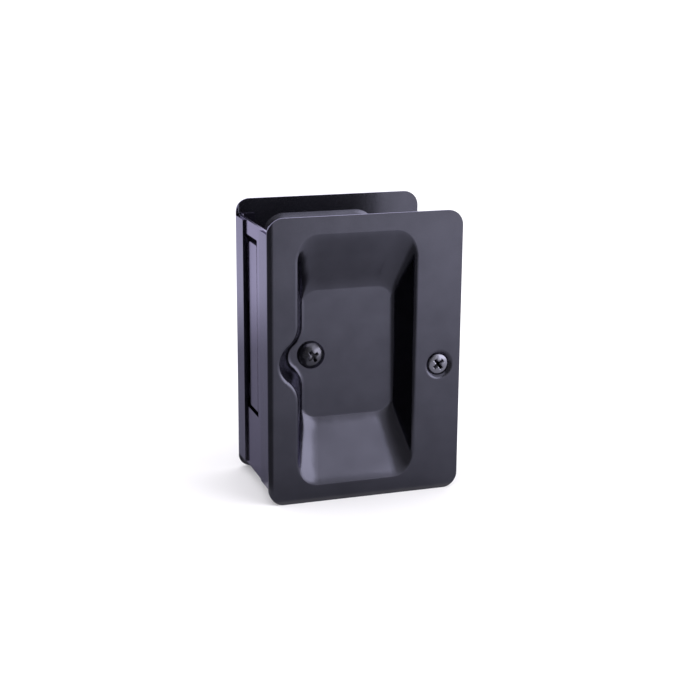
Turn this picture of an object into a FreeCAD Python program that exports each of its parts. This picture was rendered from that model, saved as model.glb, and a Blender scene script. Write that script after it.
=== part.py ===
import FreeCAD, Part
import math
import os

import Sketcher

from FreeCAD import Placement, Rotation, Vector

# Pocket door pull for the edge of a sliding door, in millimetres.
# Two equal pressed half shells stand face to face, one on each side of the door. The back one is turned
# half a turn about X. Their flanges meet over an inner edge channel that closes the gap between them,
# so that the pull grows with the door's thickness. It is drawn here at its narrowest.
# Frame: +Z up, Y through the door, X away from the door's edge. The origin is the middle of the foot.

SIZES = [
    ("plate_width", 57.15, "face plate, from the door's edge inwards"),
    ("plate_height", 82.55, "face plate, up and down"),
    ("corner_radius", 4.4, "face plate's rounded corners"),
    ("sheet", 0.6, "sheet metal of both shells"),
    ("thinnest_door", 34.925, "door thickness that the pull is drawn at"),
    ("bend_radius", 1.5, "outside of the bend between plate and flange"),
    ("flange_depth", 9.2, "flange, from the plate's outer face to its free edge"),
    ("flange_relief", 0.3, "flange ends this far before the corner's curve"),
    ("cup_left", 8.5, "finger recess, straight left wall at the plate's face"),
    ("cup_width", 34.6, "finger recess at the plate's face"),
    ("cup_margin", 5.8, "plate left above and below the finger recess"),
    ("cup_depth", 8.8, "finger recess, from the plate's face to its floor"),
    ("cup_corner", 6.0, "corner radius of the recess at the plate's face"),
    ("wall_lean", 21.1, "lean of the recess's side walls on their way to the floor, in degrees"),
    ("ramp_slope", 29.4, "slope of its end ramps from the plate, in degrees"),
    ("rim_bend", 8.0, "bend between the plate's face and an end ramp"),
    ("rim_slope", 10.0, "slope at which that bend starts, in degrees"),
    ("floor_bend", 12.0, "bend between an end ramp and the recess floor"),
    ("floor_slope", 12.0, "slope at which that bend ends, in degrees"),
    ("floor_corner", 5.0, "corner radius of the recess floor"),
    ("bump_reach", 5.4, "bump of the recess towards the flange, at the plate's face"),
    ("bump_floor_reach", 4.0, "the same bump at the floor"),
    ("bump_radius", 6.4, "round end of the bump at the plate's face"),
    ("bump_floor_radius", 4.5, "round end of the bump at the floor"),
    ("bump_blend", 8.0, "hollow curve from bump to straight wall, at the plate's face"),
    ("bump_floor_blend", 7.2, "the same hollow curve at the floor"),
    ("rim_fillet", 1.2, "rounding between the plate's face and the recess wall"),
    ("floor_fillet", 1.6, "rounding between the recess wall and its floor"),
    ("clamp_x", 14.9, "clamp screw's axis, from the flange's outer face"),
    ("door_screw_x", 50.8, "door screw's axis, from the flange's outer face"),
    ("door_screw_drop", 3.5, "door screw's axis, below the plate's middle"),
    ("dimple_radius", 4.0, "dimple for the door screw's head, at the plate's face"),
    ("dimple_fillet", 0.9, "rounding of the dimple's rim"),
    ("door_hole_radius", 2.35, "hole for the door screw"),
    ("dimple_collar", 0.5, "pressed collar below the dimple's seat"),
    ("channel_sheet", 0.8, "sheet metal of the edge channel"),
    ("slide_gap", 0.05, "play between the channel and the shells"),
    ("channel_short", 4.3, "edge channel ends this far inside the plates' ends"),
    ("channel_bend", 2.2, "outside of the channel's two bends"),
    ("channel_reach", 5.8, "channel's legs, from the flange's outer face"),
    ("notch_height", 28.0, "notch in the legs that lets the recess bump through"),
    ("notch_corner", 2.0, "corner radius of that notch"),
    ("window_width", 12.3, "window in the channel's web, through the door"),
    ("window_above", 4.1, "web left above the window"),
    ("window_below", 18.0, "web left below the window"),
    ("window_shift", 1.9, "window's middle behind the channel's middle"),
    ("tab_slot_top", 1.9, "slot above the finger tab"),
    ("tab_slot_low", 1.1, "slot below the finger tab"),
    ("tab_slot_side", 1.1, "slot beside the finger tab's free edge"),
    ("tab_corner", 2.6, "finger tab's rounded corners"),
    ("tab_set_in", 0.35, "finger tab behind the web's outer face"),
    ("tab_crease", 2.0, "length of the crease at the finger tab's root"),
    ("tab_lip", 1.7, "outside of the curled lip on the finger tab"),
    ("clamp_radius", 2.08, "clamp screw's shank"),
    ("clamp_head_radius", 3.95, "clamp screw's head"),
    ("clamp_head_height", 2.6, "clamp screw's head"),
    ("clamp_head_brim", 0.7, "straight edge of the clamp screw's head"),
    ("clamp_hole_gap", 0.22, "clamp screw's radial play in the recess floor"),
    ("thread_gap", 0.06, "clamp screw's radial play in the post"),
    ("post_radius", 3.5, "clamp post"),
    ("post_gap", 1.9, "from the post's mouth to the front recess floor at the narrowest"),
    ("post_floor", 0.9, "from the back recess floor to the blind end of the post's bore"),
    ("bore_end", 1.4, "free bore beyond the clamp screw's tip at the narrowest"),
    ("post_neck", 2.6, "clamp post's neck through the recess floor"),
    ("post_rivet", 3.7, "staked end of the clamp post, radius"),
    ("post_rivet_height", 0.9, "staked end of the clamp post, height"),
    ("bevel", 0.4, "small bevels on post and shank ends"),
    ("door_head_radius", 3.1, "door screw's head"),
    ("door_head_edge", 0.25, "straight edge of the door screw's head"),
    ("door_head_dome", 0.5, "raised top of the door screw's head"),
    ("door_shank_radius", 2.1, "door screw's shank"),
    ("door_length", 19.0, "door screw, from the head's edge to its point"),
    ("door_point", 5.0, "tapered point of the door screw"),
    ("door_tip", 0.3, "blunt end of that point, radius"),
    ("cross_span", 3.6, "cross recess, tip to tip"),
    ("cross_width", 1.05, "cross recess, width of one wing"),
    ("cross_depth", 1.9, "cross recess, below the head's top"),
    ("cross_taper", 9.0, "cross recess, lean of its walls in degrees"),
    ("clamp_turn", 30.0, "clamp screw's cross, turned in degrees"),
    ("door_turn", 36.0, "door screws' crosses, turned in degrees"),
]

# Places worked out from the sizes above, as expressions over the sheet.
THICKNESS = "(Sizes.thinnest_door + 2 * Sizes.sheet)"
CUP_HALF = "(Sizes.plate_height / 2 - Sizes.cup_margin)"
WALL_LEAN = "tan(Sizes.wall_lean)"
RIM_FALL = "(Sizes.rim_bend * (cos(Sizes.rim_slope) - cos(Sizes.ramp_slope)))"
FLOOR_FALL = "(Sizes.floor_bend * (cos(Sizes.floor_slope) - cos(Sizes.ramp_slope)))"
CHANNEL_X = "(Sizes.sheet + Sizes.slide_gap)"
CHANNEL_WIDTH = "(Sizes.thinnest_door - 2 * Sizes.slide_gap)"
CHANNEL_HALF = "(Sizes.plate_height / 2 - Sizes.channel_short)"
FLOOR_GAP = "(Sizes.thinnest_door - 2 * Sizes.cup_depth)"
OVERSIZE = 5.0

doc = FreeCAD.newDocument("pocket_door_pull")
sheet = doc.addObject("Spreadsheet::Sheet", "Sizes")
for row, (alias, size, meaning) in enumerate(SIZES, 1):
    sheet.set(f"A{row}", meaning)
    sheet.set(f"B{row}", str(size))
    sheet.setAlias(f"B{row}", alias)
doc.recompute()


def value(text):
    """Number that an expression over the sheet gives."""
    return float(sheet.evalExpression(text.replace("Sizes.", "")))


def new_sketch(body, name, role, offset=("0", "0", "0")):
    """Sketch on one of the body's own planes, moved by three expressions in the plane's frame."""
    sketch = body.newObject("Sketcher::SketchObject", name)
    plane = next(item for item in body.Origin.OriginFeatures if item.Role == role)
    sketch.AttachmentSupport = (plane, [""])
    sketch.MapMode = "FlatFace"
    for letter, text in zip("xyz", offset):
        sketch.setExpression(f"AttachmentOffset.Base.{letter}", text)
    return sketch


def fix(sketch, kind, piece, end, text):
    """Hold a piece's point or radius at the value of an expression."""
    if kind == "Radius":
        index = sketch.addConstraint(Sketcher.Constraint(kind, piece, value(text)))
    else:
        index = sketch.addConstraint(Sketcher.Constraint(kind, -1, 1, piece, end, value(text)))
    sketch.setExpression(f"Constraints[{index}]", text)


def add_line(sketch, start, end):
    return sketch.addGeometry(Part.LineSegment(Vector(*start, 0), Vector(*end, 0)))


def add_arc(sketch, centre, radius, first, last):
    """Arc drawn counter-clockwise between two angles in degrees."""
    circle = Part.Circle(Vector(*centre, 0), Vector(0, 0, 1), radius)
    return sketch.addGeometry(Part.ArcOfCircle(circle, math.radians(first), math.radians(last)))


def join_loop(sketch, pieces):
    """Join pieces end to start. Each is (piece, first end, last end, smooth join to the next)."""
    for index, (piece, _, last, smooth) in enumerate(pieces):
        following = pieces[(index + 1) % len(pieces)]
        kind = "Tangent" if smooth else "Coincident"
        sketch.addConstraint(Sketcher.Constraint(kind, piece, last, following[0], following[1]))


def polygon(sketch, corners):
    """Closed outline of straight lines through corners, each a pair of expressions."""
    points = [(value(x), value(y)) for x, y in corners]
    lines = [add_line(sketch, point, points[(i + 1) % len(points)]) for i, point in enumerate(points)]
    join_loop(sketch, [(line, 1, 2, False) for line in lines])
    for line, (x, y) in zip(lines, corners):
        fix(sketch, "DistanceX", line, 1, x)
        fix(sketch, "DistanceY", line, 1, y)


def circle(sketch, x, y, radius):
    piece = sketch.addGeometry(Part.Circle(Vector(value(x), value(y), 0), Vector(0, 0, 1), value(radius)))
    fix(sketch, "DistanceX", piece, 3, x)
    fix(sketch, "DistanceY", piece, 3, y)
    fix(sketch, "Radius", piece, 0, radius)


def rounded_box(sketch, left, right, low, high, radius):
    """Rectangle with four equal round corners."""
    x0, x1, y0, y1, r = (value(text) for text in (left, right, low, high, radius))
    bottom = add_line(sketch, (x0 + r, y0), (x1 - r, y0))
    low_right = add_arc(sketch, (x1 - r, y0 + r), r, 270, 360)
    side_right = add_line(sketch, (x1, y0 + r), (x1, y1 - r))
    high_right = add_arc(sketch, (x1 - r, y1 - r), r, 0, 90)
    top = add_line(sketch, (x1 - r, y1), (x0 + r, y1))
    high_left = add_arc(sketch, (x0 + r, y1 - r), r, 90, 180)
    side_left = add_line(sketch, (x0, y1 - r), (x0, y0 + r))
    low_left = add_arc(sketch, (x0 + r, y0 + r), r, 180, 270)
    pieces = (bottom, low_right, side_right, high_right, top, high_left, side_left, low_left)
    join_loop(sketch, [(piece, 1, 2, True) for piece in pieces])
    sketch.addConstraint(Sketcher.Constraint("Horizontal", bottom))
    sketch.addConstraint(Sketcher.Constraint("Vertical", side_right))
    for corner in (low_right, high_right, high_left, low_left):
        fix(sketch, "Radius", corner, 0, radius)
    fix(sketch, "DistanceY", bottom, 1, low)
    fix(sketch, "DistanceX", side_right, 1, right)
    fix(sketch, "DistanceY", top, 1, high)
    fix(sketch, "DistanceX", side_left, 1, left)


def add_feature(body, kind, name, sketch, **settings):
    """Feature made from a sketch. A setting given as text is an expression."""
    feature = body.newObject(f"PartDesign::{kind}", name)
    feature.Profile = sketch
    for key, setting in settings.items():
        if isinstance(setting, str) and key in ("Length", "TaperAngle"):
            feature.setExpression(key, setting)
        else:
            setattr(feature, key, setting)
    doc.recompute()
    return feature


def turned(body, kind, name, sketch):
    """Full turn of a sketch about its own upright axis."""
    return add_feature(body, kind, name, sketch, ReferenceAxis=(sketch, ["V_Axis"]), Angle=360.0)


def loft(body, kind, name, sketches):
    """Smooth loft through sketches."""
    return add_feature(body, kind, name, sketches[0], Sections=sketches[1:])


def edges_where(shape, test):
    """Names of the edges of which every sampled point passes the test."""
    names = []
    for index, edge in enumerate(shape.Edges, 1):
        if all(test(point) for point in edge.discretize(5)):
            names.append(f"Edge{index}")
    return names


def fillet(body, name, test, radius):
    """Round all edges of the body's last feature that pass the test."""
    base = body.Tip
    feature = body.newObject("PartDesign::Fillet", name)
    feature.Base = (base, edges_where(base.Shape, test))
    feature.setExpression("Radius", radius)
    doc.recompute()
    return feature


# Half shell, drawn in its own frame: X from the flange's outer face, Y inwards from the plate's outer
# face, Z from the plate's middle.

def draw_fold(sketch):
    """Section of plate, bend and flange, seen from above."""
    outer, thin = value("Sizes.bend_radius"), value("Sizes.sheet")
    width, depth = value("Sizes.plate_width"), value("Sizes.flange_depth")
    face = add_line(sketch, (outer, 0), (width, 0))
    edge = add_line(sketch, (width, 0), (width, thin))
    inside = add_line(sketch, (width, thin), (outer, thin))
    inner_bend = add_arc(sketch, (outer, outer), outer - thin, 180, 270)
    flange_inside = add_line(sketch, (thin, outer), (thin, depth))
    flange_end = add_line(sketch, (thin, depth), (0, depth))
    flange_outside = add_line(sketch, (0, depth), (0, outer))
    outer_bend = add_arc(sketch, (outer, outer), outer, 180, 270)
    join_loop(sketch, [
        (face, 1, 2, False), (edge, 1, 2, False), (inside, 1, 2, True), (inner_bend, 2, 1, True),
        (flange_inside, 1, 2, False), (flange_end, 1, 2, False), (flange_outside, 1, 2, True),
        (outer_bend, 1, 2, True),
    ])
    for line in (face, flange_end):
        sketch.addConstraint(Sketcher.Constraint("Horizontal", line))
    for line in (edge, flange_outside):
        sketch.addConstraint(Sketcher.Constraint("Vertical", line))
    fix(sketch, "DistanceY", face, 2, "0")
    fix(sketch, "DistanceX", edge, 1, "Sizes.plate_width")
    fix(sketch, "DistanceY", edge, 2, "Sizes.sheet")
    fix(sketch, "DistanceX", flange_end, 1, "Sizes.sheet")
    fix(sketch, "DistanceY", flange_end, 1, "Sizes.flange_depth")
    fix(sketch, "DistanceX", flange_end, 2, "0")
    fix(sketch, "Radius", outer_bend, 0, "Sizes.bend_radius")
    fix(sketch, "Radius", inner_bend, 0, "Sizes.bend_radius - Sizes.sheet")


def draw_cup(sketch, left, right, half, corner, reach, radius, blend):
    """Outline of the finger recess, with its bump on the left. Each argument is an expression."""
    x0, x1, z1, r = (value(text) for text in (left, right, half, corner))
    out, tip, hollow = (value(text) for text in (reach, radius, blend))
    tip_x = x0 - out + tip
    rise = math.sqrt((tip + hollow) ** 2 - (tip_x - x0 + hollow) ** 2)
    swing = math.degrees(math.atan2(rise, tip_x - x0 + hollow))
    high_left = add_arc(sketch, (x0 + r, z1 - r), r, 90, 180)
    wall_high = add_line(sketch, (x0, z1 - r), (x0, rise))
    hollow_high = add_arc(sketch, (x0 - hollow, rise), hollow, 360 - swing, 360)
    bump = add_arc(sketch, (tip_x, 0), tip, 180 - swing, 180 + swing)
    hollow_low = add_arc(sketch, (x0 - hollow, -rise), hollow, 0, swing)
    wall_low = add_line(sketch, (x0, -rise), (x0, r - z1))
    low_left = add_arc(sketch, (x0 + r, r - z1), r, 180, 270)
    bottom = add_line(sketch, (x0 + r, -z1), (x1 - r, -z1))
    low_right = add_arc(sketch, (x1 - r, r - z1), r, 270, 360)
    wall_right = add_line(sketch, (x1, r - z1), (x1, z1 - r))
    high_right = add_arc(sketch, (x1 - r, z1 - r), r, 0, 90)
    top = add_line(sketch, (x1 - r, z1), (x0 + r, z1))
    join_loop(sketch, [
        (high_left, 1, 2, True), (wall_high, 1, 2, True), (hollow_high, 2, 1, True), (bump, 1, 2, True),
        (hollow_low, 2, 1, True), (wall_low, 1, 2, True), (low_left, 1, 2, True), (bottom, 1, 2, True),
        (low_right, 1, 2, True), (wall_right, 1, 2, True), (high_right, 1, 2, True), (top, 1, 2, True),
    ])
    sketch.addConstraint(Sketcher.Constraint("Horizontal", bottom))
    sketch.addConstraint(Sketcher.Constraint("Vertical", wall_right))
    for arc in (high_left, low_left, low_right, high_right):
        fix(sketch, "Radius", arc, 0, corner)
    for arc in (hollow_high, hollow_low):
        fix(sketch, "Radius", arc, 0, blend)
    fix(sketch, "Radius", bump, 0, radius)
    fix(sketch, "DistanceX", bump, 3, f"{left} - {reach} + {radius}")
    fix(sketch, "DistanceY", bump, 3, "0")
    fix(sketch, "DistanceX", wall_high, 2, left)
    fix(sketch, "DistanceX", wall_low, 1, left)
    fix(sketch, "DistanceX", wall_right, 1, right)
    fix(sketch, "DistanceY", top, 1, half)
    fix(sketch, "DistanceY", bottom, 1, f"-{half}")


def end_stations(out):
    """Profile of an end ramp as (depth, distance from the middle), for a surface that stands out by out."""
    ramp = "Sizes.ramp_slope"
    rim_half = f"({CUP_HALF} - {RIM_FALL} / tan({ramp}))"
    floor_half = f"({CUP_HALF} - (Sizes.cup_depth - {FLOOR_FALL}) / tan({ramp}))"
    stations = []
    for share in (0, 0.5, 1):
        slope = f"(Sizes.rim_slope + {share} * ({ramp} - Sizes.rim_slope))"
        stations.append((
            f"(Sizes.rim_bend * (cos(Sizes.rim_slope) - cos({slope})) + {out} * cos({slope}))",
            f"({rim_half} + Sizes.rim_bend * (sin({ramp}) - sin({slope})) + {out} * sin({slope}))",
        ))
    for share in (1 / 3, 2 / 3):
        depth = f"({RIM_FALL} + {share} * (Sizes.cup_depth - {FLOOR_FALL} - {RIM_FALL}))"
        stations.append((
            f"({depth} + {out} * cos({ramp}))",
            f"({CUP_HALF} - {depth} / tan({ramp}) + {out} * sin({ramp}))",
        ))
    for share in (0, 0.5, 1):
        slope = f"({ramp} + {share} * (Sizes.floor_slope - {ramp}))"
        fall = f"Sizes.floor_bend * (cos(Sizes.floor_slope) - cos({slope}))"
        stations.append((
            f"(Sizes.cup_depth - {fall} + {out} * cos({slope}))",
            f"({floor_half} - Sizes.floor_bend * (sin({ramp}) - sin({slope})) + {out} * sin({slope}))",
        ))
    return stations


def cup_sketches(body, name, out):
    """Outlines of the recess from its rim to its floor, for a surface that stands out by out."""
    stations = end_stations(out)
    stations[0] = (out, stations[0][1])
    stations[-1] = (f"(Sizes.cup_depth + {out})", stations[-1][1])
    side = f"({out} * sqrt(1 + {WALL_LEAN} * {WALL_LEAN}))"
    sketches = []
    for index, (depth, half) in enumerate(stations):
        share = f"({depth} / Sizes.cup_depth)"
        run = f"({depth} * {WALL_LEAN} - {side})"
        sketch = new_sketch(body, f"{name}_{index}", "XZ_Plane", ("0", "0", f"-{depth}"))
        draw_cup(
            sketch,
            f"(Sizes.cup_left + {run})",
            f"(Sizes.cup_left + Sizes.cup_width - {run})",
            half,
            f"(Sizes.cup_corner + {share} * (Sizes.floor_corner - Sizes.cup_corner) + {side})",
            f"(Sizes.bump_reach + {share} * (Sizes.bump_floor_reach - Sizes.bump_reach))",
            f"(Sizes.bump_radius + {share} * (Sizes.bump_floor_radius - Sizes.bump_radius) + {side})",
            f"(Sizes.bump_blend + {share} * (Sizes.bump_floor_blend - Sizes.bump_blend) - {side})",
        )
        sketches.append(sketch)
    return sketches


def make_shell(name, clamp_hole):
    """One pressed half: folded plate, drawn recess, dimple and holes."""
    body = doc.addObject("PartDesign::Body", name)
    half = "Sizes.plate_height / 2"

    fold = new_sketch(body, f"{name}_fold", "XY_Plane")
    draw_fold(fold)
    add_feature(body, "Pad", f"{name}_folded", fold, Length="Sizes.plate_height", SideType="Symmetric")

    outline = new_sketch(body, f"{name}_outline", "XZ_Plane")
    beyond = f"({half} + {OVERSIZE})"
    far = f"(Sizes.plate_width + {OVERSIZE})"
    polygon(outline, [
        (f"-{OVERSIZE}", f"-{beyond}"), (far, f"-{beyond}"), (far, beyond), (f"-{OVERSIZE}", beyond),
    ])
    rounded_box(outline, "0", "Sizes.plate_width", f"-{half}", half, "Sizes.corner_radius")
    add_feature(body, "Pocket", f"{name}_corners", outline, Length="Sizes.bend_radius")

    ends = new_sketch(body, f"{name}_ends", "YZ_Plane")
    stop = f"({half} - Sizes.corner_radius - Sizes.flange_relief)"
    free = f"(Sizes.flange_depth + {OVERSIZE})"
    start = "Sizes.bend_radius"
    polygon(ends, [(start, stop), (free, stop), (free, beyond), (start, beyond)])
    polygon(ends, [(start, f"-{beyond}"), (free, f"-{beyond}"), (free, f"-{stop}"), (start, f"-{stop}")])
    add_feature(body, "Pocket", f"{name}_flange_ends", ends, Length="Sizes.bend_radius", Reversed=True)

    loft(body, "AdditiveLoft", f"{name}_drawn", cup_sketches(body, f"{name}_back", "Sizes.sheet"))
    loft(body, "SubtractiveLoft", f"{name}_recess", cup_sketches(body, f"{name}_face", "0"))

    place = ("Sizes.door_screw_x", "0", "-Sizes.door_screw_drop")
    seat = "(Sizes.dimple_radius - Sizes.door_hole_radius)"
    skin = "(Sizes.dimple_radius + Sizes.sheet * sqrt(2))"
    dome = new_sketch(body, f"{name}_dome", "XY_Plane", place)
    end = f"({seat} + Sizes.dimple_collar)"
    polygon(dome, [
        ("0", "Sizes.sheet / 2"), (f"{skin} - Sizes.sheet / 2", "Sizes.sheet / 2"),
        (f"{skin} - {end}", end), ("0", end),
    ])
    turned(body, "Revolution", f"{name}_dimple", dome)
    sink = new_sketch(body, f"{name}_sink", "XY_Plane", place)
    through = f"({end} + {OVERSIZE})"
    polygon(sink, [
        ("0", f"-{OVERSIZE}"), (f"Sizes.dimple_radius + {OVERSIZE}", f"-{OVERSIZE}"),
        ("Sizes.door_hole_radius", seat), ("Sizes.door_hole_radius", through), ("0", through),
    ])
    turned(body, "Groove", f"{name}_sunk", sink)

    hole = new_sketch(body, f"{name}_hole", "XZ_Plane")
    circle(hole, "Sizes.clamp_x", "0", clamp_hole)
    add_feature(body, "Pocket", f"{name}_clamp_hole", hole, Length=f"Sizes.cup_depth + {OVERSIZE}")
    round_shell(body, name)
    return body


def close(first, second, gap=0.02):
    return abs(first - second) < gap


def round_shell(body, name):
    """Rounded edges of the recess and the dimple on both sides of the sheet."""
    thin, deep = value("Sizes.sheet"), value("Sizes.cup_depth")
    left = value("Sizes.cup_left - Sizes.bump_reach - 3 * Sizes.sheet")
    right = value("Sizes.cup_left + Sizes.cup_width + 3 * Sizes.sheet")
    high = value("Sizes.plate_height / 2 - Sizes.sheet")
    hole_x, hole_z = value("Sizes.door_screw_x"), -value("Sizes.door_screw_drop")
    room = value("Sizes.dimple_radius + 2 * Sizes.sheet")
    clamp_x, clear = value("Sizes.clamp_x"), value("Sizes.clamp_head_radius")

    def in_cup(p):
        return left < p.x < right and abs(p.z) < high and abs(p.x - clamp_x) + abs(p.z) > clear

    def in_dimple(p):
        return math.hypot(p.x - hole_x, p.z - hole_z) < room

    fillet(body, f"{name}_rim_face", lambda p: close(p.y, 0) and in_cup(p), "Sizes.rim_fillet")
    fillet(body, f"{name}_rim_back", lambda p: close(p.y, thin) and in_cup(p),
           "Sizes.rim_fillet - Sizes.sheet")
    fillet(body, f"{name}_floor_face", lambda p: close(p.y, deep) and in_cup(p), "Sizes.floor_fillet")
    fillet(body, f"{name}_floor_back", lambda p: close(p.y, deep + thin) and in_cup(p),
           "Sizes.floor_fillet + Sizes.sheet")
    fillet(body, f"{name}_dimple_face", lambda p: close(p.y, 0) and in_dimple(p), "Sizes.dimple_fillet")
    fillet(body, f"{name}_dimple_back", lambda p: close(p.y, thin) and in_dimple(p),
           "Sizes.dimple_fillet - Sizes.sheet")


def place(body, x, y, z, turned_over=False):
    """Put a body at three expressions, turned half a turn about X if it belongs to the back."""
    if turned_over:
        body.Placement = Placement(Vector(), Rotation(Vector(1, 0, 0), 180))
    for letter, text in zip("xyz", (x, y, z)):
        body.setExpression(f"Placement.Base.{letter}", text)


# Edge channel, in its own frame: X from the flanges' outer faces, Y and Z from its middle.

def draw_channel(sketch):
    """Section of the channel, seen from above: web, two bends and two legs."""
    x0, reach, side = value(CHANNEL_X), value("Sizes.channel_reach"), value(f"{CHANNEL_WIDTH} / 2")
    outer, thin = value("Sizes.channel_bend"), value("Sizes.channel_sheet")
    web_out = add_line(sketch, (x0, side - outer), (x0, outer - side))
    bend_out_low = add_arc(sketch, (x0 + outer, outer - side), outer, 180, 270)
    leg_out_low = add_line(sketch, (x0 + outer, -side), (reach, -side))
    end_low = add_line(sketch, (reach, -side), (reach, thin - side))
    leg_in_low = add_line(sketch, (reach, thin - side), (x0 + outer, thin - side))
    bend_in_low = add_arc(sketch, (x0 + outer, outer - side), outer - thin, 180, 270)
    web_in = add_line(sketch, (x0 + thin, outer - side), (x0 + thin, side - outer))
    bend_in_high = add_arc(sketch, (x0 + outer, side - outer), outer - thin, 90, 180)
    leg_in_high = add_line(sketch, (x0 + outer, side - thin), (reach, side - thin))
    end_high = add_line(sketch, (reach, side - thin), (reach, side))
    leg_out_high = add_line(sketch, (reach, side), (x0 + outer, side))
    bend_out_high = add_arc(sketch, (x0 + outer, side - outer), outer, 90, 180)
    join_loop(sketch, [
        (web_out, 1, 2, True), (bend_out_low, 1, 2, True), (leg_out_low, 1, 2, False),
        (end_low, 1, 2, False), (leg_in_low, 1, 2, True), (bend_in_low, 2, 1, True),
        (web_in, 1, 2, True), (bend_in_high, 2, 1, True), (leg_in_high, 1, 2, False),
        (end_high, 1, 2, False), (leg_out_high, 1, 2, True), (bend_out_high, 1, 2, True),
    ])
    for line in (leg_out_low, leg_in_low, leg_in_high, leg_out_high):
        sketch.addConstraint(Sketcher.Constraint("Horizontal", line))
    half = f"{CHANNEL_WIDTH} / 2"
    fix(sketch, "DistanceX", web_out, 1, CHANNEL_X)
    fix(sketch, "DistanceX", web_in, 1, f"{CHANNEL_X} + Sizes.channel_sheet")
    for line, end, y in (
        (end_low, 1, f"-({half})"), (end_low, 2, f"Sizes.channel_sheet - {half}"),
        (end_high, 1, f"{half} - Sizes.channel_sheet"), (end_high, 2, half),
    ):
        fix(sketch, "DistanceX", line, end, "Sizes.channel_reach")
        fix(sketch, "DistanceY", line, end, y)
    fix(sketch, "Radius", bend_out_low, 0, "Sizes.channel_bend")
    fix(sketch, "Radius", bend_out_high, 0, "Sizes.channel_bend")


def draw_tab(sketch, root, free):
    """Section of the finger tab: crease at its root and a curled lip at its free edge."""
    x0, set_in, lip = value(CHANNEL_X), value("Sizes.tab_set_in"), value("Sizes.tab_lip")
    thin, crease, y0, y1 = (value(text) for text in ("Sizes.channel_sheet", "Sizes.tab_crease", root, free))
    deep, flat_end, slant = x0 + set_in, y1 - lip * math.sqrt(0.5), math.sqrt(0.5)
    centre = (deep + lip, flat_end)
    lip_out = (centre[0] - lip * slant, centre[1] + lip * slant)
    lip_in = (centre[0] - (lip - thin) * slant, centre[1] + (lip - thin) * slant)
    root_end = add_line(sketch, (x0 + thin, y0 - thin), (x0, y0 - thin))
    root_out = add_line(sketch, (x0, y0 - thin), (x0, y0))
    fall = add_line(sketch, (x0, y0), (deep, y0 + crease))
    flat = add_line(sketch, (deep, y0 + crease), (deep, flat_end))
    curl = add_arc(sketch, centre, lip, 135, 180)
    edge = add_line(sketch, lip_out, lip_in)
    curl_in = add_arc(sketch, centre, lip - thin, 135, 180)
    flat_in = add_line(sketch, (deep + thin, flat_end), (deep + thin, y0 + crease))
    fall_in = add_line(sketch, (deep + thin, y0 + crease), (x0 + thin, y0))
    cover = add_line(sketch, (x0 + thin, y0), (x0 + thin, y0 - thin))
    join_loop(sketch, [
        (root_end, 1, 2, False), (root_out, 1, 2, False), (fall, 1, 2, False), (flat, 1, 2, True),
        (curl, 2, 1, False), (edge, 1, 2, False), (curl_in, 1, 2, True), (flat_in, 1, 2, False),
        (fall_in, 1, 2, False), (cover, 1, 2, False),
    ])
    inner = f"({CHANNEL_X} + Sizes.channel_sheet)"
    for line, end, x, y in (
        (root_end, 1, inner, f"{root} - Sizes.channel_sheet"),
        (root_end, 2, CHANNEL_X, f"{root} - Sizes.channel_sheet"),
        (fall, 1, CHANNEL_X, root),
        (fall, 2, f"{CHANNEL_X} + Sizes.tab_set_in", f"{root} + Sizes.tab_crease"),
        (flat, 2, f"{CHANNEL_X} + Sizes.tab_set_in", f"{free} - Sizes.tab_lip * sqrt(0.5)"),
        (flat_in, 2, f"{inner} + Sizes.tab_set_in", f"{root} + Sizes.tab_crease"),
        (fall_in, 2, inner, root),
    ):
        fix(sketch, "DistanceX", line, end, x)
        fix(sketch, "DistanceY", line, end, y)
    fix(sketch, "Radius", curl, 0, "Sizes.tab_lip")
    fix(sketch, "DistanceY", edge, 1, free)
    fix(sketch, "Radius", curl_in, 0, "Sizes.tab_lip - Sizes.channel_sheet")
    fix(sketch, "DistanceX", flat_in, 1, f"{inner} + Sizes.tab_set_in")
    fix(sketch, "DistanceY", edge, 2, f"{free} - Sizes.channel_sheet * sqrt(0.5)")


def draw_tab_corner(sketch, free, edge, sign):
    """Waste outside a rounded corner of the finger tab. sign is 1 for the upper corner, -1 for the lower."""
    y1, z1, r = value(free), value(edge), value("Sizes.tab_corner")
    spare_y, spare_z = value("Sizes.tab_slot_side / 2"), sign * value("Sizes.tab_slot_low / 2")
    base = z1 - sign * r
    first, last = (0, 90) if sign > 0 else (270, 360)
    curve = add_arc(sketch, (y1 - r, base), r, first, last)
    at_side, at_edge = (1, 2) if sign > 0 else (2, 1)
    waste_y, waste_z = y1 + spare_y, z1 + spare_z
    corners = [(y1 - r, z1), (y1 - r, waste_z), (waste_y, waste_z), (waste_y, base), (y1, base)]
    lines = [add_line(sketch, a, b) for a, b in zip(corners, corners[1:])]
    join_loop(sketch, [(curve, at_side, at_edge, False)] + [(line, 1, 2, False) for line in lines])
    way = "+" if sign > 0 else "-"
    back = "-" if sign > 0 else "+"
    fix(sketch, "DistanceX", curve, 3, f"{free} - Sizes.tab_corner")
    fix(sketch, "DistanceY", curve, 3, f"{edge} {back} Sizes.tab_corner")
    for line, x, y in (
        (lines[0], f"{free} - Sizes.tab_corner", edge),
        (lines[1], f"{free} - Sizes.tab_corner", f"{edge} {way} Sizes.tab_slot_low / 2"),
        (lines[2], f"{free} + Sizes.tab_slot_side / 2", f"{edge} {way} Sizes.tab_slot_low / 2"),
        (lines[3], f"{free} + Sizes.tab_slot_side / 2", f"{edge} {back} Sizes.tab_corner"),
    ):
        fix(sketch, "DistanceX", line, 1, x)
        fix(sketch, "DistanceY", line, 1, y)
    sketch.addConstraint(Sketcher.Constraint("Horizontal", lines[3]))


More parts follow.
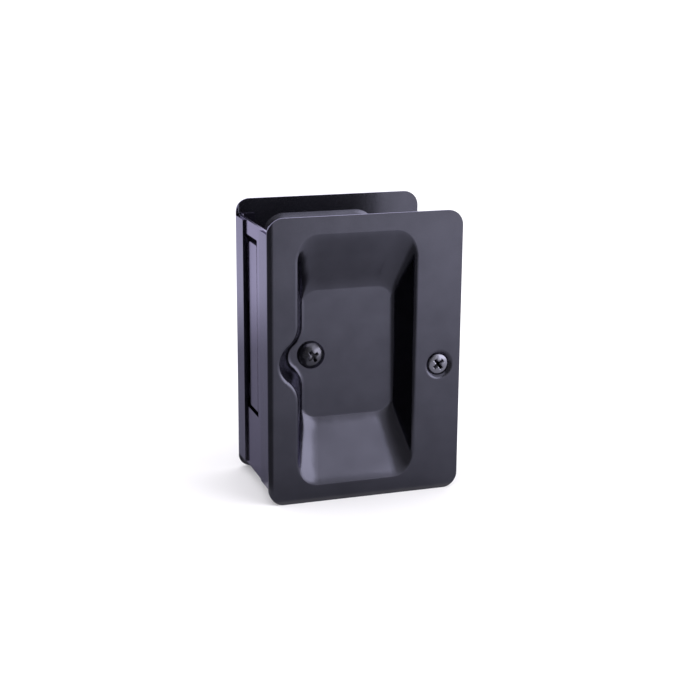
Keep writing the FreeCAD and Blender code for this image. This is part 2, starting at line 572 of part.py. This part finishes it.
def make_channel(name):
    """Edge channel with its window, finger tab and notched legs."""
    body = doc.addObject("PartDesign::Body", name)
    section = new_sketch(body, f"{name}_section", "XY_Plane")
    draw_channel(section)
    add_feature(body, "Pad", f"{name}_bent", section, Length=f"2 * {CHANNEL_HALF}", SideType="Symmetric")

    low = f"(Sizes.window_below - {CHANNEL_HALF})"
    high = f"({CHANNEL_HALF} - Sizes.window_above)"
    near = "(Sizes.window_shift - Sizes.window_width / 2)"
    far = "(Sizes.window_shift + Sizes.window_width / 2)"
    window = new_sketch(body, f"{name}_window", "YZ_Plane")
    polygon(window, [(near, low), (far, low), (far, high), (near, high)])
    through = f"{CHANNEL_X} + 2 * Sizes.channel_sheet"
    add_feature(body, "Pocket", f"{name}_pierced", window, Length=through, Reversed=True)

    free = f"({far} - Sizes.tab_slot_side)"
    foot, head = f"({low} + Sizes.tab_slot_low)", f"({high} - Sizes.tab_slot_top)"
    tab = new_sketch(body, f"{name}_tab", "XY_Plane", ("0", "0", foot))
    draw_tab(tab, near, free)
    add_feature(body, "Pad", f"{name}_tab_bent", tab, Length=f"{head} - {foot}")
    waste = new_sketch(body, f"{name}_tab_waste", "YZ_Plane")
    draw_tab_corner(waste, free, head, 1)
    draw_tab_corner(waste, free, foot, -1)
    reach = f"{CHANNEL_X} + Sizes.tab_set_in + Sizes.tab_lip + Sizes.channel_sheet"
    add_feature(body, "Pocket", f"{name}_tab_rounded", waste, Length=reach, Reversed=True)

    notch = new_sketch(body, f"{name}_notch", "XZ_Plane")
    start = f"({CHANNEL_X} + Sizes.channel_sheet + Sizes.slide_gap)"
    beyond = f"(Sizes.channel_reach + {OVERSIZE})"
    half = "Sizes.notch_height / 2"
    rounded_box(notch, start, beyond, f"-{half}", half, "Sizes.notch_corner")
    across_legs = f"2 * {CHANNEL_WIDTH}"
    add_feature(body, "Pocket", f"{name}_notched", notch, Length=across_legs, SideType="Symmetric")
    place(body, "-Sizes.plate_width / 2", "0", "Sizes.plate_height / 2")
    return body


# Fasteners, each in its own frame with Y along its axis.

def make_post(name):
    """Threaded post. Y runs from the recess floor that it is staked to towards its mouth."""
    body = doc.addObject("PartDesign::Body", name)
    profile = new_sketch(body, f"{name}_profile", "XY_Plane")
    mouth = f"({FLOOR_GAP} - Sizes.post_gap)"
    bore = "(Sizes.clamp_radius + Sizes.thread_gap)"
    polygon(profile, [
        ("0", "-Sizes.sheet - Sizes.post_rivet_height"),
        ("Sizes.post_rivet - Sizes.bevel", "-Sizes.sheet - Sizes.post_rivet_height"),
        ("Sizes.post_rivet", "-Sizes.sheet - Sizes.post_rivet_height + Sizes.bevel"),
        ("Sizes.post_rivet", "-Sizes.sheet"), ("Sizes.post_neck", "-Sizes.sheet"),
        ("Sizes.post_neck", "0"), ("Sizes.post_radius", "0"),
        ("Sizes.post_radius", f"{mouth} - Sizes.bevel"), ("Sizes.post_radius - Sizes.bevel", mouth),
        (f"{bore} + Sizes.bevel", mouth), (bore, f"{mouth} - Sizes.bevel"),
        (bore, "Sizes.post_floor"), ("0", "Sizes.post_floor"),
    ])
    turned(body, "Revolution", f"{name}_turned", profile)
    place(body, "Sizes.clamp_x - Sizes.plate_width / 2",
          f"{THICKNESS} / 2 - Sizes.cup_depth - Sizes.sheet", "Sizes.plate_height / 2", turned_over=True)
    return body


def cut_cross(body, name, top, turn):
    """Cross recess sunk from the head's top, which lies at the expression top."""
    sketch = new_sketch(body, f"{name}_cross", "XZ_Plane", ("0", "0", f"-({top})"))
    sketch.AttachmentOffset = Placement(sketch.AttachmentOffset.Base, Rotation(Vector(0, 0, 1), 0))
    sketch.setExpression("AttachmentOffset.Rotation.Angle", turn)
    tip, wing = "Sizes.cross_span / 2", "Sizes.cross_width / 2"
    quarter = [(tip, f"-{wing}"), (tip, wing), (wing, wing)]
    corners = []
    for _ in range(4):
        corners += quarter
        quarter = [(f"-({y})", x) for x, y in quarter]
    polygon(sketch, corners)
    add_feature(body, "Pocket", f"{name}_driven", sketch, Length="Sizes.cross_depth",
                TaperAngle="-Sizes.cross_taper")


def draw_head(sketch, rim, edge, top, rest):
    """Half section of a domed head and what follows it, from the dome's edge round to the axis."""
    r, y, crown = value(rim), value(edge), value(top)
    ball = (r * r + (y - crown) ** 2) / (2 * (y - crown))
    reach = math.degrees(math.asin(r / ball))
    dome = add_arc(sketch, (0, crown + ball), ball, 270, 270 + reach)
    points = [(r, y)] + [(value(a), value(b)) for a, b in rest] + [(0, crown)]
    lines = [add_line(sketch, a, b) for a, b in zip(points, points[1:])]
    join_loop(sketch, [(dome, 1, 2, False)] + [(line, 1, 2, False) for line in lines])
    fix(sketch, "DistanceX", dome, 3, "0")
    for line, (a, b) in zip(lines, [(rim, edge)] + rest):
        fix(sketch, "DistanceX", line, 1, a)
        fix(sketch, "DistanceY", line, 1, b)
    fix(sketch, "DistanceX", dome, 1, "0")
    fix(sketch, "DistanceY", dome, 1, top)


def make_clamp_screw(name):
    """Machine screw. Y runs from the underside of its head to its tip."""
    body = doc.addObject("PartDesign::Body", name)
    profile = new_sketch(body, f"{name}_profile", "XY_Plane")
    length = f"(Sizes.sheet + {FLOOR_GAP} - Sizes.post_floor - Sizes.bore_end)"
    draw_head(profile, "Sizes.clamp_head_radius", "-Sizes.clamp_head_brim", "-Sizes.clamp_head_height", [
        ("Sizes.clamp_head_radius", "0"), ("Sizes.clamp_radius", "0"),
        ("Sizes.clamp_radius", f"{length} - Sizes.bevel"), ("Sizes.clamp_radius - Sizes.bevel", length),
        ("0", length),
    ])
    turned(body, "Revolution", f"{name}_turned", profile)
    cut_cross(body, name, "-Sizes.clamp_head_height", "Sizes.clamp_turn")
    place(body, "Sizes.clamp_x - Sizes.plate_width / 2", f"Sizes.cup_depth - {THICKNESS} / 2",
          "Sizes.plate_height / 2")
    return body


def make_door_screw(name, at_back):
    """Wood screw. Y runs inwards from the plate's outer face."""
    body = doc.addObject("PartDesign::Body", name)
    profile = new_sketch(body, f"{name}_profile", "XY_Plane")
    seat = "(Sizes.dimple_radius - Sizes.door_head_radius)"
    edge = f"({seat} - Sizes.door_head_edge)"
    end = f"({seat} + Sizes.door_length)"
    draw_head(profile, "Sizes.door_head_radius", edge, f"({edge} - Sizes.door_head_dome)", [
        ("Sizes.door_head_radius", seat),
        ("Sizes.door_shank_radius", "Sizes.dimple_radius - Sizes.door_shank_radius"),
        ("Sizes.door_shank_radius", f"{end} - Sizes.door_point"), ("Sizes.door_tip", end), ("0", end),
    ])
    turned(body, "Revolution", f"{name}_turned", profile)
    cut_cross(body, name, f"{edge} - Sizes.door_head_dome", "Sizes.door_turn")
    side, drop = ("", "+") if at_back else ("-", "-")
    place(body, "Sizes.door_screw_x - Sizes.plate_width / 2", f"{side}{THICKNESS} / 2",
          f"Sizes.plate_height / 2 {drop} Sizes.door_screw_drop", at_back)
    return body


def place_shell(body, at_back):
    side = "" if at_back else "-"
    place(body, "-Sizes.plate_width / 2", f"{side}{THICKNESS} / 2", "Sizes.plate_height / 2", at_back)
    return body


parts = [
    place_shell(make_shell("front_shell", "Sizes.clamp_radius + Sizes.clamp_hole_gap"), False),
    place_shell(make_shell("back_shell", "Sizes.post_neck"), True),
    make_channel("edge_channel"),
    make_clamp_screw("clamp_screw"),
    make_post("clamp_post"),
    make_door_screw("front_door_screw", False),
    make_door_screw("back_door_screw", True),
]
doc.recompute()

for item in doc.Objects:
    if "Invalid" in item.State or "Error" in item.State:
        raise RuntimeError(f"{item.Label} failed: {item.State}")
for body in parts:
    if body.Shape.isNull() or not body.Shape.isValid() or len(body.Shape.Solids) != 1:
        raise RuntimeError(f"{body.Label} isn't one valid solid")

os.makedirs("parts", exist_ok=True)
for body in parts:
    body.Shape.exportStep(f"parts/{body.Label}.step")
    print(body.Label, round(body.Shape.Volume, 2), "mm3", len(body.Shape.Faces), "faces")
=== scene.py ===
import math

import bmesh
import bpy
from mathutils import Matrix, Vector


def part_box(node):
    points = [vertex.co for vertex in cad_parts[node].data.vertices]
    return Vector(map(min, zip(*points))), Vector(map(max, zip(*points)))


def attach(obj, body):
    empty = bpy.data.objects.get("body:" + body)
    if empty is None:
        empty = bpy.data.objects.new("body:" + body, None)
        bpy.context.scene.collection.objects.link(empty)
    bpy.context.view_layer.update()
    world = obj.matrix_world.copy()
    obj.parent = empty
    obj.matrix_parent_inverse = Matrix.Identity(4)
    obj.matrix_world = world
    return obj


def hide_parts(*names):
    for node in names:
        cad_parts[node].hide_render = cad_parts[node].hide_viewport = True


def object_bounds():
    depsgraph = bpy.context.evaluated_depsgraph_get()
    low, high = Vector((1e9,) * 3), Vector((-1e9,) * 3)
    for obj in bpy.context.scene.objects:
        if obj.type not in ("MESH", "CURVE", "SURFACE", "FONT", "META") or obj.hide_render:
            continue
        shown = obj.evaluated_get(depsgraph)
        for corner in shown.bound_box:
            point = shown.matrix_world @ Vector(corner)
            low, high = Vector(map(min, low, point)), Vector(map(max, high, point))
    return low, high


# Dressed scene of the pocket door pull, in metres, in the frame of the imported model.
# The shells, the channel and the post keep their CAD shapes and get painted finishes. The screws get
# cut threads under heads that are copied from the model.

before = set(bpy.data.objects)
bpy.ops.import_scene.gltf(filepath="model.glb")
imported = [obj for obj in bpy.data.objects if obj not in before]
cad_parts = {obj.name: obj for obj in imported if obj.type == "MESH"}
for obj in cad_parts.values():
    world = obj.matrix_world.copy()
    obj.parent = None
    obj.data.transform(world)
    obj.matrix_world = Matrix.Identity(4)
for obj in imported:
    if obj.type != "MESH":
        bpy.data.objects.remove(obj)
cad_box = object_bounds()

MM = 0.001

# Camera, fitted to the photograph's straight edges. Angles in degrees.
PHOTO_WIDTH_PX = 700
SENSOR_MM = 36.0
FOCAL_PX = 1458.2
CAMERA_AZIMUTH = -18.79
CAMERA_ELEVATION = 15.08
CAMERA_ROLL = 0.43
CAMERA_DISTANCE = 428.54 * MM
AIM_RIGHT = 1.19 * MM
AIM_UP = -2.02 * MM

# Screws. A thread's profile is given as shares of its pitch and of its depth, a tip as a share of the
# radius, and a head as the depth at which the model's shank is cut off.
CUT_CLEAR = 0.02 * MM
THREAD_STEPS = 36
THREAD_PROFILE = [(0.0, 0.0), (0.30, 0.0), (0.46, 1.0), (0.54, 1.0), (0.70, 0.0)]
WOOD_HEAD = 1.75 * MM
WOOD_RADIUS = 2.1 * MM
WOOD_CORE = 1.4 * MM
WOOD_PITCH = 2.1 * MM
WOOD_POINT = 5.0 * MM
WOOD_TIP = 0.14
MACHINE_HEAD = 2.6 * MM
MACHINE_RADIUS = 2.08 * MM
MACHINE_CORE = 1.68 * MM
MACHINE_PITCH = 0.79 * MM
MACHINE_POINT = 0.4 * MM
MACHINE_TIP = 0.8
CREASE_ANGLE = math.radians(32)
WELD = 0.001 * MM
SLIVER = 0.0001 * MM

# Finishes: sizes of the clouds, specks and waves in the paint, and how far they go.
CLOUD_SIZE = 9 * MM
CLOUD_STOPS = (0.35, 0.65)
SPECK_SIZE = 0.35 * MM
SPECK_SHARE = 1 / 8
WAVE_SIZE = 1.1 * MM
SHINE_SPREAD = 0.03
PEEL = 0.006 * MM
MATT = 0.95
MOTTLE_SIZE = 0.4

CENTRE = (Vector(cad_box[0]) + Vector(cad_box[1])) / 2


def new_object(name, data):
    piece = bpy.data.objects.new(name, data)
    bpy.context.scene.collection.objects.link(piece)
    return piece


# Materials.

def node_material(name):
    """Material with a Principled shader and its object coordinates."""
    material = bpy.data.materials.new(name)
    material.use_nodes = True
    nodes, links = material.node_tree.nodes, material.node_tree.links
    shader = next(node for node in nodes if node.type == "BSDF_PRINCIPLED")
    place = nodes.new("ShaderNodeTexCoord").outputs["Object"]
    return material, nodes, links, shader, place


def noise(nodes, links, place, size, detail=2.0, rough=0.5):
    """Noise whose blobs are about the given size in metres."""
    texture = nodes.new("ShaderNodeTexNoise")
    texture.inputs["Scale"].default_value = 1 / size
    texture.inputs["Detail"].default_value = detail
    texture.inputs["Roughness"].default_value = rough
    links.new(place, texture.inputs["Vector"])
    return texture.outputs["Fac"]


def ramp(nodes, links, factor, stops):
    """Colour ramp from two (position, colour) stops."""
    node = nodes.new("ShaderNodeValToRGB")
    for element, (position, colour) in zip(node.color_ramp.elements, stops):
        element.position = position
        element.color = (*colour, 1)
    links.new(factor, node.inputs["Fac"])
    return node.outputs["Color"]


def rescale(nodes, links, value, source, target):
    """Number that runs through the target's two limits as a value runs through the source's."""
    node = nodes.new("ShaderNodeMapRange")
    node.inputs["From Min"].default_value, node.inputs["From Max"].default_value = source
    node.inputs["To Min"].default_value, node.inputs["To Max"].default_value = target
    links.new(value, node.inputs["Value"])
    return node.outputs["Result"]


def bump(nodes, links, height, depth, before=None):
    """Bump of the given depth in metres, on top of an earlier one."""
    node = nodes.new("ShaderNodeBump")
    node.inputs["Distance"].default_value = depth
    links.new(height, node.inputs["Height"])
    if before is not None:
        links.new(before, node.inputs["Normal"])
    return node.outputs["Normal"]


def paint(name, dark, light, shine, edge, peel):
    """Dark glossy finish without any milky body: peel of the given depth, faint clouds, uneven shine."""
    material, nodes, links, shader, place = node_material(name)
    clouds = noise(nodes, links, place, CLOUD_SIZE, 3.0)
    specks = noise(nodes, links, place, SPECK_SIZE, 2.0, 0.7)
    waves = noise(nodes, links, place, WAVE_SIZE, 1.0)
    low, high = CLOUD_STOPS
    colour = ramp(nodes, links, clouds, [(low, dark), (high, light)])
    gloss = rescale(nodes, links, specks, (0, 1), (shine - SHINE_SPREAD, shine + SHINE_SPREAD))
    peeled = bump(nodes, links, waves, peel)
    links.new(colour, shader.inputs["Base Color"])
    links.new(gloss, shader.inputs["Roughness"])
    links.new(bump(nodes, links, specks, peel * SPECK_SHARE, peeled), shader.inputs["Normal"])
    shader.inputs["Metallic"].default_value = 1.0
    shader.inputs["Specular Tint"].default_value = (*edge, 1)
    return material


SHELL_PAINT = paint(
    "shell_paint", (0.053, 0.053, 0.060), (0.061, 0.061, 0.069), 0.23, (0.90, 0.88, 1.0), PEEL)
# The channel's paint is a brighter, bluer copy of the shell paint: painted light that lifts the
# channel's web out of its shade.
CHANNEL_LIT_PAINT = paint(
    "channel_paint", (0.060, 0.057, 0.071), (0.069, 0.066, 0.082), 0.16, (0.90, 0.87, 1.0), PEEL)
POST_BLACK = paint(
    "post_black", (0.060, 0.060, 0.066), (0.075, 0.074, 0.080), 0.34, (0.9, 0.9, 1.0), PEEL / 2)
WOOD_SCREW_BLACK = paint(
    "wood_screw_black", (0.15, 0.15, 0.16), (0.19, 0.19, 0.20), 0.20, (0.9, 0.9, 1.0), PEEL / 4)
# The clamp screw's black is a darker copy of the wood screws' black: painted shade on the clamp screw's
# head.
CLAMP_SCREW_SHADED_BLACK = paint(
    "clamp_screw_shaded_black", (0.075, 0.075, 0.080), (0.095, 0.095, 0.100), 0.22, (0.8, 0.8, 0.9), PEEL / 3)


def dress(piece, material):
    for holder in piece.material_slots:
        holder.material = material


for node in ("front_shell", "back_shell"):
    dress(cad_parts[node], SHELL_PAINT)
dress(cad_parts["edge_channel"], CHANNEL_LIT_PAINT)
dress(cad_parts["clamp_post"], POST_BLACK)


# Screws.

def helix_rows(shank, length, outer, core, pitch, point, tip):
    """Rows of points across a helical thread that runs along +Y from 0 to length."""
    rows = []
    for step in range((math.ceil(length / pitch) + 1) * THREAD_STEPS + 1):
        angle = 2 * math.pi * step / THREAD_STEPS
        start = pitch * (step / THREAD_STEPS - 1)
        row = []
        for along, crest in THREAD_PROFILE:
            y = min(max(start + along * pitch, 0.0), length)
            left = min((length - y) / point, 1.0)
            radius = (core + crest * (outer - core)) * (tip + (1 - tip) * left)
            row.append(shank.verts.new((radius * math.cos(angle), y, radius * math.sin(angle))))
        rows.append(row)
    return rows


def make_shank(length, outer, core, pitch, point, tip):
    """Threaded shank along +Y from the origin, closed at both ends."""
    shank = bmesh.new()
    rows = helix_rows(shank, length, outer, core, pitch, point, tip)
    for step, (row, after) in enumerate(zip(rows, rows[1:])):
        turn_on = step + THREAD_STEPS
        if turn_on + 1 < len(rows):
            row, after = row + rows[turn_on][:1], after + rows[turn_on + 1][:1]
        for index in range(len(row) - 1):
            shank.faces.new((row[index], row[index + 1], after[index + 1], after[index]))
    bmesh.ops.dissolve_degenerate(shank, edges=shank.edges, dist=SLIVER)
    bmesh.ops.remove_doubles(shank, verts=shank.verts, dist=WELD)
    bmesh.ops.holes_fill(shank, edges=shank.edges, sides=0)
    return shank


def copy_head(node, way, start):
    """Model's own head, cut off just below its shank's start and closed there."""
    screw = bmesh.new()
    screw.from_mesh(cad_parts[node].data)
    bmesh.ops.remove_doubles(screw, verts=screw.verts, dist=WELD)
    bmesh.ops.bisect_plane(
        screw, geom=screw.verts[:] + screw.edges[:] + screw.faces[:], dist=SLIVER,
        plane_co=(0, start + way * CUT_CLEAR, 0), plane_no=(0, way, 0), clear_outer=True)
    bmesh.ops.holes_fill(screw, edges=screw.edges, sides=0)
    return screw


def threaded_screw(node, body, way, head, shank_sizes, material):
    """Screw with a cut thread. way is 1 where the shank runs towards +Y and -1 where it runs back."""
    low, high = (Vector(corner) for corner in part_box(node))
    axis = (low + high) / 2
    start = (low.y if way > 0 else high.y) + way * head
    shank = make_shank(high.y - low.y - head, *shank_sizes)
    turn = Matrix.Rotation(0 if way > 0 else math.pi, 4, "X")
    seat = Matrix.Translation((axis.x, start, axis.z))
    bmesh.ops.transform(shank, matrix=seat @ turn, verts=shank.verts)
    screw = copy_head(node, way, start)
    rod = bpy.data.meshes.new(f"{node}_rod")
    shank.to_mesh(rod)
    screw.from_mesh(rod)
    bmesh.ops.recalc_face_normals(screw, faces=screw.faces)
    for face in screw.faces:
        face.smooth = True
        face.material_index = 0
    mesh = bpy.data.meshes.new(f"{node}_threaded")
    screw.to_mesh(mesh)
    mesh.set_sharp_from_angle(angle=CREASE_ANGLE)
    mesh.materials.append(material)
    piece = new_object(f"{node}_threaded", mesh)
    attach(piece, body)
    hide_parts(node)


WOOD_SHANK = (WOOD_RADIUS, WOOD_CORE, WOOD_PITCH, WOOD_POINT, WOOD_TIP)
MACHINE_SHANK = (MACHINE_RADIUS, MACHINE_CORE, MACHINE_PITCH, MACHINE_POINT, MACHINE_TIP)
threaded_screw("clamp_screw", "front_half", 1, MACHINE_HEAD, MACHINE_SHANK, CLAMP_SCREW_SHADED_BLACK)
threaded_screw("front_door_screw", "front_half", 1, WOOD_HEAD, WOOD_SHANK, WOOD_SCREW_BLACK)
threaded_screw("back_door_screw", "back_half", -1, WOOD_HEAD, WOOD_SHANK, WOOD_SCREW_BLACK)


# Floor, light and camera. A light is given by its place, its size in metres and its power in watts.

FLOOR_HALF = 2.0
FLOOR_TONES = ((0.93, 0.93, 0.80), (0.96, 0.96, 0.83))
STUDIO_TINT = (1.0, 0.985, 1.19)
STUDIO_LIGHT = 1.28
HIGH_RIGHT = ((0.45, -0.75, 0.75), (0.7, 0.5), 0.85)
LOW_RIGHT = ((0.42, -0.30, 0.17), (0.60, 0.30), 1.7)

# Cards that only reflections see, as a photographer's flags do; their tones are painted reflections. The
# dark one is a fan on the left, with
#  angles from -Y towards -X in degrees, and paints a dark reflection into surfaces that face left. The
#  grey ones lie in front and behind and paint shade, darker nearer the object, into the reflection of
#  the floor. Each fades from its first tone to its second: the fan by angle, the others along a
#  direction on the floor.
DARK_FIRST = -16
DARK_LAST = 124
DARK_STEP = 10
DARK_NEAR = 0.012
DARK_FAR = 0.6
DARK_HIGH = 0.9
DARK_LIFT = 0.0006
# Painted dark reflection, lighter at the fan's right edge.
DARK_REFLECTION_TONES = ((0.60, 0.60, 0.60), (0.15, 0.15, 0.15))
DARK_FADE = (math.radians(-16), math.radians(20))
GREY_LIFT = 0.0003
FRONT_CARD = ((-0.06, 0.50), (-0.60, -0.020))
# Painted shade in the floor's reflection, darker near the object.
FRONT_SHADE_TONES = ((0.47, 0.47, 0.47), (0.99, 0.99, 0.99))
FRONT_FADE = ((1.0, -0.35, 0.0), -0.02, 0.23)
BEHIND_CARD = ((-0.40, -0.029), (0.0, 0.60))
# Painted shade in the floor's reflection, darker near the object.
BEHIND_SHADE_TONES = ((0.31, 0.31, 0.31), (0.88, 0.88, 0.88))
BEHIND_FADE = ((0.0, 1.0, 0.0), 0.15, 0.25)


def mottle(nodes, links, place):
    return noise(nodes, links, place, MOTTLE_SIZE)


def straight_fade(way, low, high):
    """Fade along a direction on the floor."""
    def factor(nodes, links, place):
        along = nodes.new("ShaderNodeVectorMath")
        along.operation = "DOT_PRODUCT"
        along.inputs[1].default_value = way
        links.new(place, along.inputs[0])
        return rescale(nodes, links, along.outputs["Value"], (low, high), (0, 1))
    return factor


def round_fade(hub, low, high):
    """Fade by the angle about a hub, counted from -Y towards -X."""
    def factor(nodes, links, place):
        back = nodes.new("ShaderNodeVectorMath")
        back.operation = "SUBTRACT"
        back.inputs[0].default_value = hub
        links.new(place, back.inputs[1])
        parts = nodes.new("ShaderNodeSeparateXYZ")
        links.new(back.outputs["Vector"], parts.inputs["Vector"])
        angle = nodes.new("ShaderNodeMath")
        angle.operation = "ARCTAN2"
        links.new(parts.outputs["X"], angle.inputs[0])
        links.new(parts.outputs["Y"], angle.inputs[1])
        return rescale(nodes, links, angle.outputs["Value"], (low, high), (0, 1))
    return factor


def stage_piece(name, corners, faces, tones, make_factor):
    """Matt stage surface whose tone follows a factor."""
    mesh = bpy.data.meshes.new(name)
    mesh.from_pydata(corners, [], faces)
    piece = new_object(name, mesh)
    material, nodes, links, shader, place = node_material(f"{name}_matt")
    tone = ramp(nodes, links, make_factor(nodes, links, place), list(zip((0.0, 1.0), tones)))
    links.new(tone, shader.inputs["Base Color"])
    shader.inputs["Roughness"].default_value = MATT
    shader.inputs["Specular IOR Level"].default_value = 0.0
    mesh.materials.append(material)
    return piece


def make_floor():
    half = FLOOR_HALF
    corners = [(-half, -half, 0), (half, -half, 0), (half, half, 0), (-half, half, 0)]
    stage_piece("floor", corners, [(0, 1, 2, 3)], FLOOR_TONES, mottle)


def reflected_only(card):
    card.visible_camera = False
    card.visible_diffuse = False
    card.visible_shadow = False


def make_dark_card():
    """Fan that lies on the floor from the plate's left edge and rises at its far end; its tones are a
    painted dark reflection.
    """
    hub = Vector((cad_box[0][0], cad_box[0][1], 0))
    corners, faces = [], []
    for angle in range(DARK_FIRST, DARK_LAST + 1, DARK_STEP):
        way = Vector((-math.sin(math.radians(angle)), -math.cos(math.radians(angle)), 0))
        for distance, z in ((DARK_NEAR, DARK_LIFT), (DARK_FAR, DARK_LIFT), (DARK_FAR, DARK_HIGH)):
            corners.append(hub + way * distance + Vector((0, 0, z)))
    for first in range(0, len(corners) - 3, 3):
        for ring in (first, first + 1):
            faces.append((ring, ring + 1, ring + 4, ring + 3))
    fade = round_fade(hub, *DARK_FADE)
    reflected_only(stage_piece("dark_reflection_card", corners, faces, DARK_REFLECTION_TONES, fade))


def make_grey_card(name, area, tones, fade):
    """Rectangular card on the floor; its fading tone is painted shade, darker near the object, seen only
    in reflections.
    """
    (x0, x1), (y0, y1) = area
    corners = [(x0, y0, GREY_LIFT), (x1, y0, GREY_LIFT), (x1, y1, GREY_LIFT), (x0, y1, GREY_LIFT)]
    reflected_only(stage_piece(name, corners, [(0, 1, 2, 3)], tones, straight_fade(*fade)))


def area_light(name, place, size, power):
    light = bpy.data.lights.new(name, "AREA")
    light.shape = "RECTANGLE"
    light.size, light.size_y = size
    light.energy = power
    light.color = STUDIO_TINT
    lamp = new_object(name, light)
    lamp.location = place
    lamp.rotation_euler = (CENTRE - Vector(place)).to_track_quat("-Z", "Y").to_euler()


def make_camera():
    """Camera at the photograph's angle, aimed a little off the object's middle, with a small roll."""
    azimuth, elevation = math.radians(CAMERA_AZIMUTH), math.radians(CAMERA_ELEVATION)
    roll = math.radians(CAMERA_ROLL)
    level = Vector((math.cos(azimuth), math.sin(azimuth), 0))
    ahead = Vector((-math.sin(azimuth), math.cos(azimuth), 0))
    forward = ahead * math.cos(elevation) - Vector((0, 0, math.sin(elevation)))
    upright = level.cross(forward)
    right = level * math.cos(roll) + upright * math.sin(roll)
    up = upright * math.cos(roll) - level * math.sin(roll)
    data = bpy.data.cameras.new("camera")
    data.sensor_width = SENSOR_MM
    data.lens = FOCAL_PX / PHOTO_WIDTH_PX * SENSOR_MM
    camera = new_object("camera", data)
    spot = CENTRE - forward * CAMERA_DISTANCE + right * AIM_RIGHT + up * AIM_UP
    turn = Matrix((right, up, -forward)).transposed()
    camera.matrix_world = Matrix.Translation(spot) @ turn.to_4x4()
    bpy.context.scene.camera = camera


def make_world():
    world = bpy.data.worlds.new("studio")
    world.use_nodes = True
    backdrop = world.node_tree.nodes["Background"]
    backdrop.inputs["Color"].default_value = (*STUDIO_TINT, 1)
    backdrop.inputs["Strength"].default_value = STUDIO_LIGHT
    bpy.context.scene.world = world


bpy.context.scene.view_settings.view_transform = "Standard"
make_floor()
make_dark_card()
make_grey_card("front_shade_card", FRONT_CARD, FRONT_SHADE_TONES, FRONT_FADE)
make_grey_card("behind_shade_card", BEHIND_CARD, BEHIND_SHADE_TONES, BEHIND_FADE)
make_world()
area_light("high_right", *HIGH_RIGHT)
area_light("low_right", *LOW_RIGHT)
make_camera()
